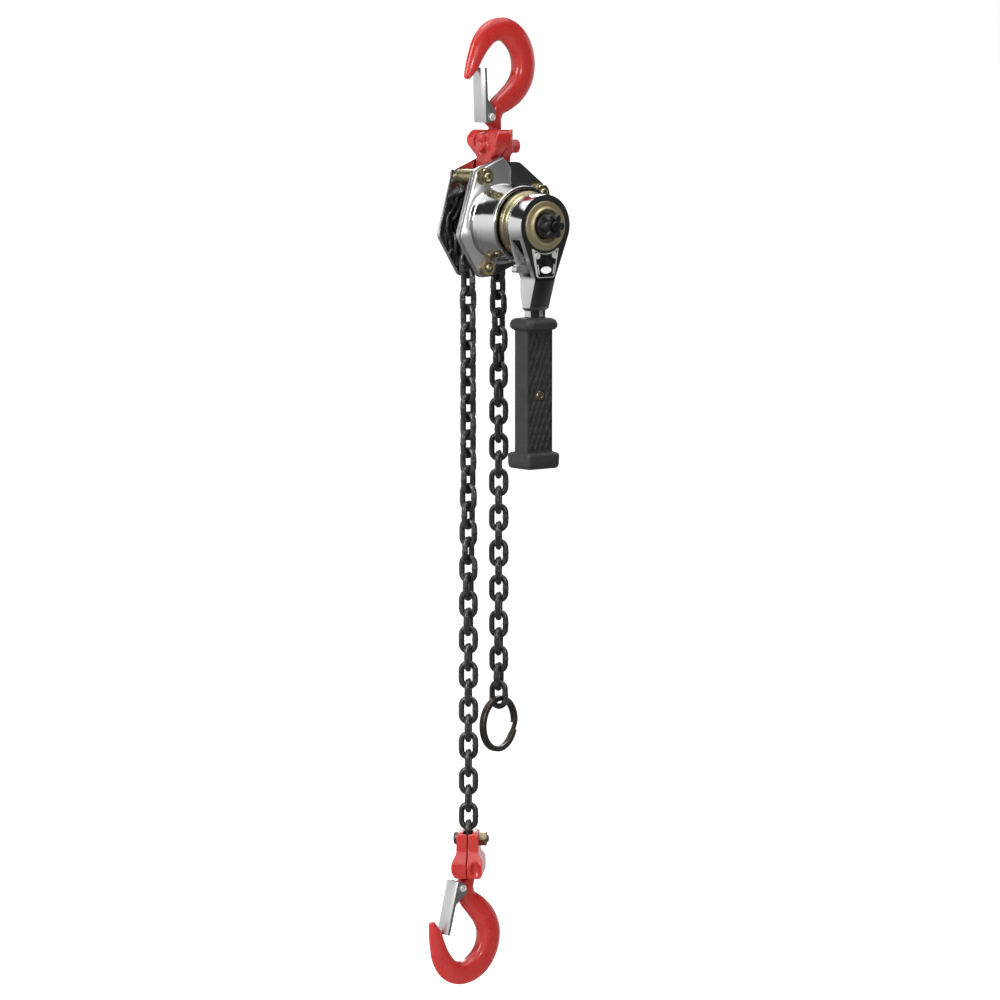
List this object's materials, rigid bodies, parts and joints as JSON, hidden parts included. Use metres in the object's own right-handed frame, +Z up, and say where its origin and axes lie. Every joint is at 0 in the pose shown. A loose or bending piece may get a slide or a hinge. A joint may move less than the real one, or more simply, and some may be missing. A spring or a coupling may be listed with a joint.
{
  "type": "lever chain hoist",
  "caption": "Ratchet lever hoist: swivel hooks with latches, plated body round a chain sheave, folding lever with rubber grip, load chain and slack end with ring.",
  "frame": {"origin": "seat of the top hook, where the load line meets the inside of its bowl", "axes": "+Z up along the hook's shank, -Y towards the lever side, +X towards the back of the hooks"},
  "size_m": [0.0918, 0.0942, 0.6495],
  "materials": {
    "red_paint": "glossy red enamel",
    "chrome": "bright plated sheet",
    "zinc_yellow": "yellow zinc plate",
    "zinc_plate": "clear zinc plate",
    "black_steel": "black oxide, oiled",
    "black_rubber": "matt black rubber",
    "bronze_steel": "dark brown oxide",
    "machined_steel": "machined, plain",
    "friction_lining": "brown brake lining",
    "label_black": "black printed plate"
  },
  "bodies": {
    "top_hook": {"top_hook": "red_paint", "top_latch_pin": "zinc_plate"},
    "top_latch": {"top_latch": "zinc_plate"},
    "top_yoke": {"top_yoke_half_a": "red_paint", "top_yoke_half_b": "red_paint", "top_yoke_bolt": "red_paint", "top_yoke_nut": "red_paint"},
    "housing": {"side_plate_front": "chrome", "side_plate_rear": "chrome", "brake_cover": "chrome", "back_cover": "chrome", "stay_bolt_a": "zinc_yellow", "stay_bolt_b": "zinc_yellow", "stay_bolt_c": "zinc_yellow", "stay_nut_a": "zinc_yellow", "stay_nut_b": "zinc_yellow", "stay_nut_c": "zinc_yellow", "stay_spacer_a": "zinc_yellow", "stay_spacer_c": "zinc_yellow", "suspension_pin": "machined_steel", "chain_stripper": "black_steel", "shaft_bush_front": "zinc_yellow", "shaft_bush_rear": "zinc_yellow", "pawl_pin_a": "machined_steel", "pawl_pin_b": "machined_steel", "sheave_chain": "black_steel"},
    "drive": {"load_sheave": "machined_steel", "drive_shaft": "machined_steel", "friction_hub": "machined_steel", "friction_disc_inner": "friction_lining", "friction_disc_outer": "friction_lining", "ratchet_wheel": "machined_steel", "clamp_nut": "machined_steel", "change_gear": "machined_steel", "free_chain_knob": "black_steel"},
    "load_chain": {"load_chain": "black_steel"},
    "tail_chain": {"tail_chain": "black_steel"},
    "end_ring": {"end_ring": "bronze_steel"},
    "lower_yoke": {"lower_yoke_half_a": "red_paint", "lower_yoke_half_b": "red_paint", "lower_yoke_bolt": "black_steel", "lower_yoke_nut": "zinc_yellow"},
    "lower_hook": {"lower_hook": "red_paint", "lower_latch_pin": "zinc_plate"},
    "lower_latch": {"lower_latch": "zinc_plate"},
    "lever": {"lever_body": "chrome", "lever_back_disc": "zinc_yellow", "lever_front_disc": "zinc_yellow", "lever_label": "label_black", "label_rivet_left": "zinc_plate", "label_rivet_right": "zinc_plate", "lever_grip": "black_rubber", "grip_screw": "zinc_yellow", "selector_pin": "machined_steel"},
    "selector": {"selector": "zinc_plate"},
    "pawl_a": {"pawl_a": "machined_steel"},
    "pawl_b": {"pawl_b": "machined_steel"}
  },
  "joints": [
    {"name": "top_latch_hinge", "type": "hinge", "parent": "top_hook", "child": "top_latch", "pos_m": [-0.0074, 0, -0.0502], "axis": [0, 1, 0], "range_deg": [0, 24], "stiffness_Nm_per_rad": 0.02, "springref_deg": -22.92},
    {"name": "top_swivel", "type": "hinge", "parent": "top_hook", "child": "top_yoke", "pos_m": [0, 0, -0.058], "axis": [0, 0, 1], "continuous": true},
    {"name": "body_swing", "type": "hinge", "parent": "top_yoke", "child": "housing", "pos_m": [0, 0, -0.084], "axis": [0, 1, 0], "range_deg": [-20, 14]},
    {"name": "load_run", "type": "slide", "parent": "housing", "child": "load_chain", "axis": [0, 0, 1], "range_m": [-0.024, 0.024], "deforming": ["load_chain", "sheave_chain"]},
    {"name": "sheave_turn", "type": "hinge", "parent": "housing", "child": "drive", "pos_m": [-0.007, 0, -0.12], "axis": [0, 1, 0], "range_deg": [-95, 95]},
    {"name": "tail_run", "type": "slide", "parent": "housing", "child": "tail_chain", "axis": [0, 0, 1], "range_m": [-0.025, 0.025], "deforming": ["tail_chain"]},
    {"name": "ring_swing", "type": "hinge", "parent": "tail_chain", "child": "end_ring", "pos_m": [0.0032, 0, -0.44918], "axis": [-0.2419, 0.9703, 0], "range_deg": [-30, 4]},
    {"name": "lower_yoke_swing", "type": "hinge", "parent": "load_chain", "child": "lower_yoke", "pos_m": [-0.02268, 0, -0.5346], "axis": [0.7314, -0.682, 0], "range_deg": [-20, 20]},
    {"name": "lower_swivel", "type": "hinge", "parent": "lower_yoke", "child": "lower_hook", "pos_m": [-0.02268, 0, -0.5606], "axis": [0, 0, 1], "continuous": true},
    {"name": "lower_latch_hinge", "type": "hinge", "parent": "lower_hook", "child": "lower_latch", "pos_m": [-0.03141, 0.00061, -0.56685], "axis": [-0.0698, -0.9976, 0], "range_deg": [0, 24], "stiffness_Nm_per_rad": 0.02, "springref_deg": -22.92},
    {"name": "lever_turn", "type": "hinge", "parent": "housing", "child": "lever", "pos_m": [-0.007, 0, -0.12], "axis": [0, 1, 0], "continuous": true},
    {"name": "selector_turn", "type": "hinge", "parent": "lever", "child": "selector", "pos_m": [-0.007, -0.055, -0.1436], "axis": [0, 1, 0], "range_deg": [0, 49]},
    {"name": "pawl_a_hinge", "type": "hinge", "parent": "housing", "child": "pawl_a", "pos_m": [0.0106, -0.0216, -0.1272], "axis": [0, 1, 0], "range_deg": [0, 12], "stiffness_Nm_per_rad": 0.01, "springref_deg": -17.19},
    {"name": "pawl_b_hinge", "type": "hinge", "parent": "housing", "child": "pawl_b", "pos_m": [-0.0246, -0.0216, -0.1128], "axis": [0, 1, 0], "range_deg": [0, 12], "stiffness_Nm_per_rad": 0.01, "springref_deg": -17.19}
  ],
  "couplings": [
    {"joint": "sheave_turn", "follows": "load_run", "rad_per_m": 65.45},
    {"joint": "tail_run", "follows": "load_run", "ratio": -1}
  ]
}
